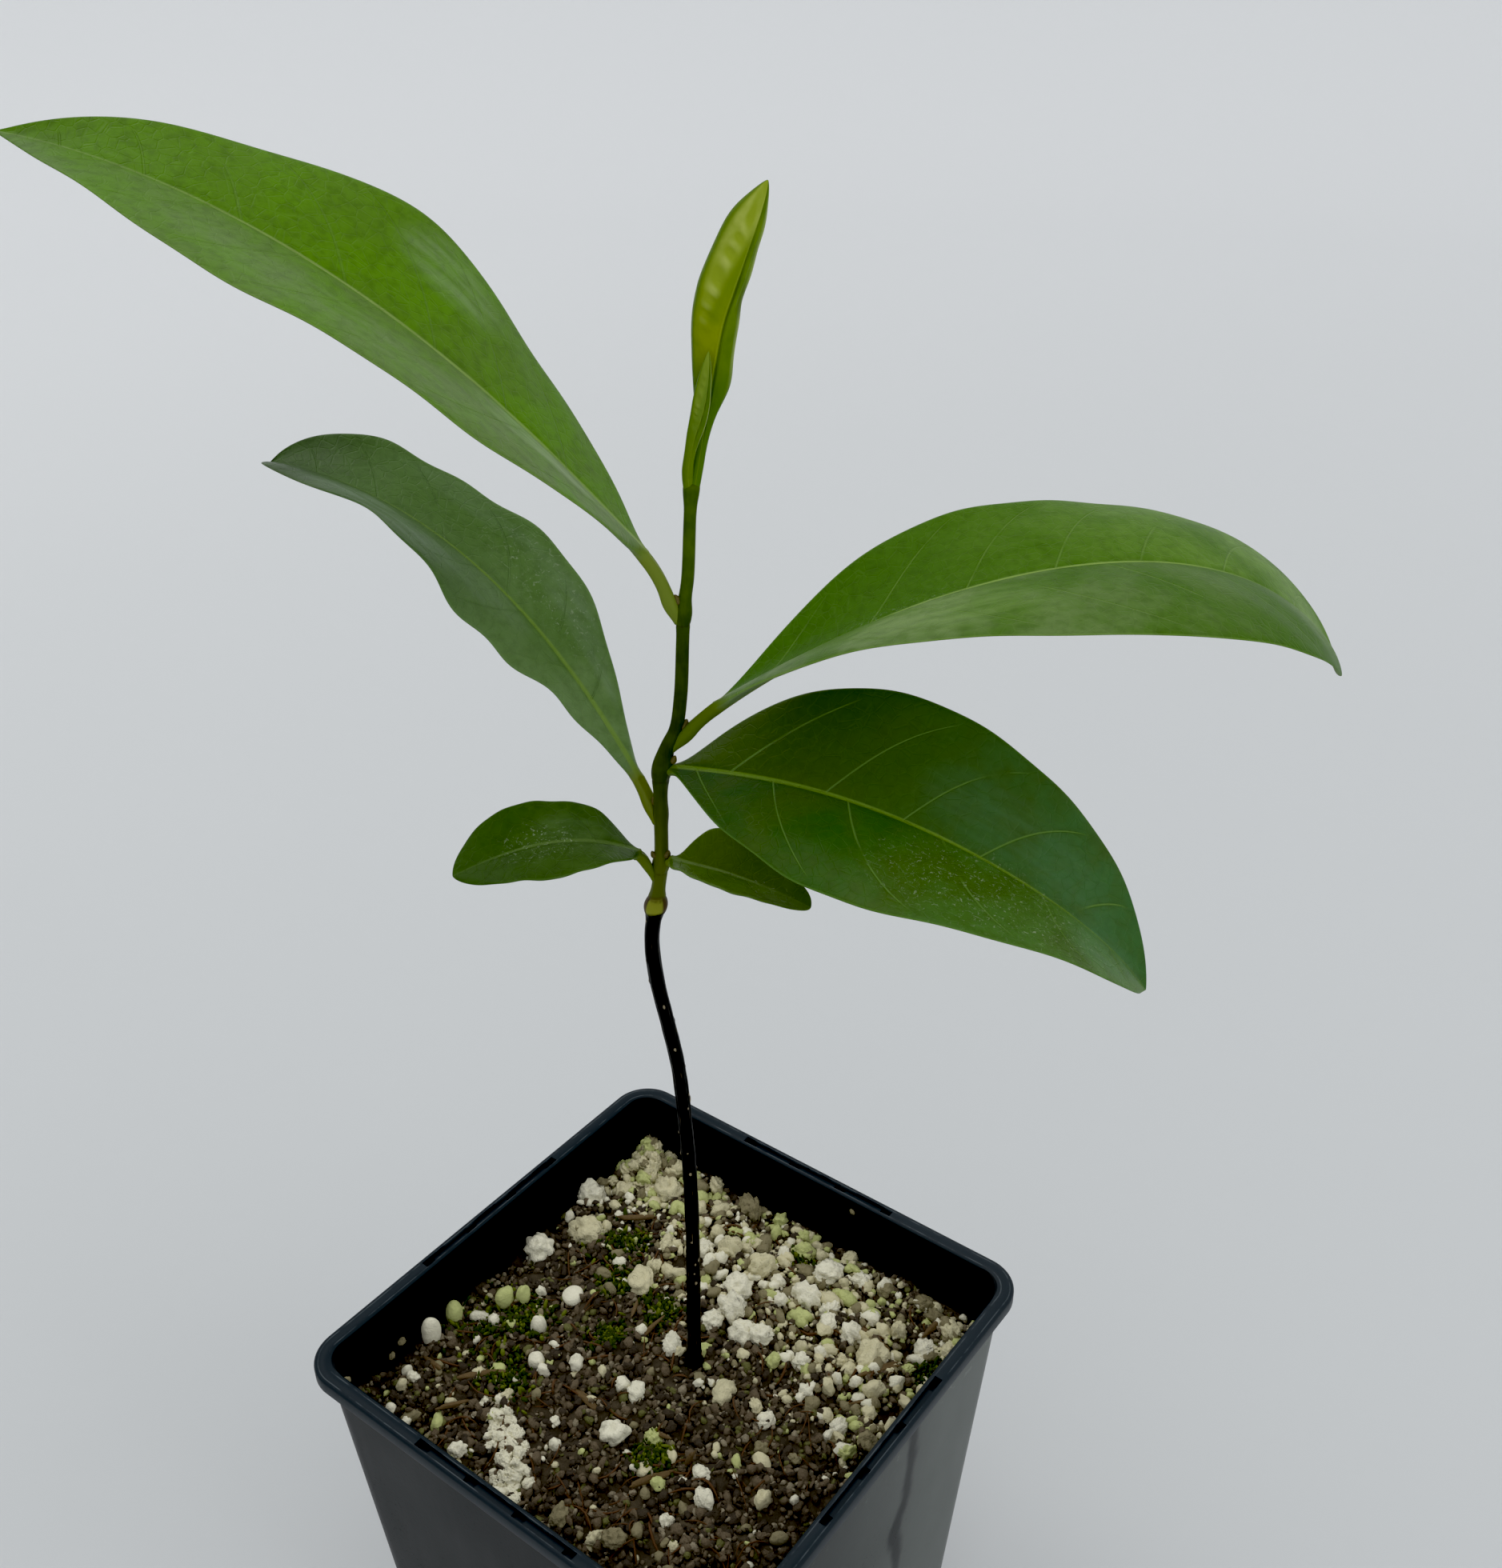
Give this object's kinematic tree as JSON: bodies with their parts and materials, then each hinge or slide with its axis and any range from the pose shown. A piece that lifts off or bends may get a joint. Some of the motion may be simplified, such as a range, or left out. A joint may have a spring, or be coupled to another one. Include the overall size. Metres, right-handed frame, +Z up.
{
  "type": "potted black sapote seedling",
  "caption": "Young black sapote fruit tree with a slender dark stem, glossy pointed leaves and a rolled tip leaf, in a square nursery pot of peat and perlite.",
  "frame": {"origin": "centre of the pot's flat underside", "axes": "+Z up the stem, X and Y along the pot's sides"},
  "size_m": [0.1339, 0.117, 0.2949],
  "materials": {
    "pot_plastic": "moulded black plastic with a satin sheen",
    "potting_mix": "moist peat crumbs with pale perlite",
    "stem": "smooth dark bark that turns green above the seed-leaf collar",
    "leaf": "glossy leathery leaf",
    "young_leaf": "shiny young leaf, lime to olive"
  },
  "bodies": {
    "root": {"pot": "pot_plastic", "potting_mix": "potting_mix", "stem": "stem", "leaf_upper_left": "leaf", "leaf_middle_left": "leaf", "leaf_lower_left": "leaf", "leaf_lower_right": "leaf", "leaf_upper_right": "leaf", "leaf_middle_right": "leaf", "young_leaf_rolled": "young_leaf", "young_leaf_inner": "young_leaf"}
  },
  "joints": []
}
